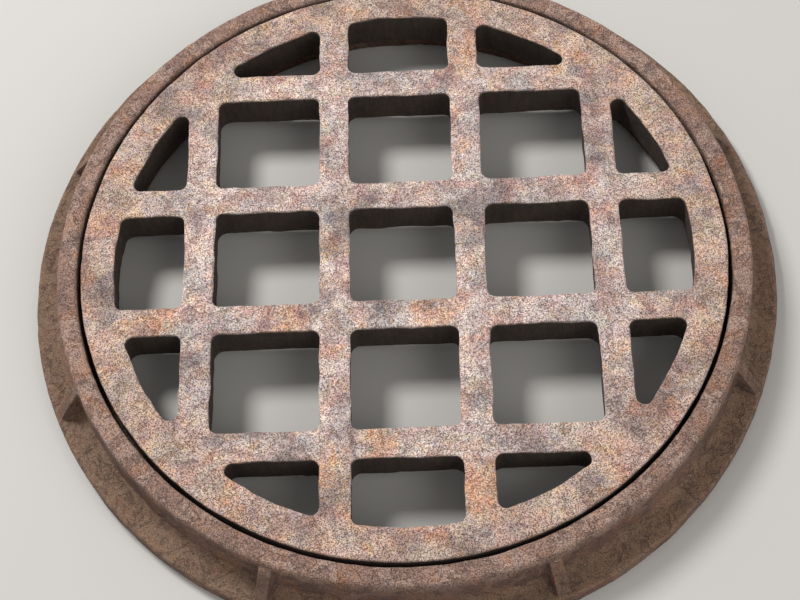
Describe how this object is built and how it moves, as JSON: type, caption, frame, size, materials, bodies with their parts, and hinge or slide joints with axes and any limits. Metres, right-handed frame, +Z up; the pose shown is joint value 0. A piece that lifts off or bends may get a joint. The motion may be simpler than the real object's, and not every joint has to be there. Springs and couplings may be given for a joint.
{
  "type": "round storm drain inlet",
  "caption": "Round cast-iron storm drain inlet: a waffle grate of square openings lying loose on the ledge of a low flanged ring frame.",
  "frame": {"origin": "centre of the frame's underside, in the plane that beds on the riser", "axes": "+Z up through the centre of the grate; X and Y along its bars, -Y towards the viewer of the picture"},
  "size_m": [0.7044, 0.7044, 0.0635],
  "materials": {
    "grate_iron": "rusted, worn on top",
    "frame_iron": "rusted, scaly"
  },
  "bodies": {
    "root": {"grate": "grate_iron", "frame": "frame_iron"}
  },
  "joints": []
}
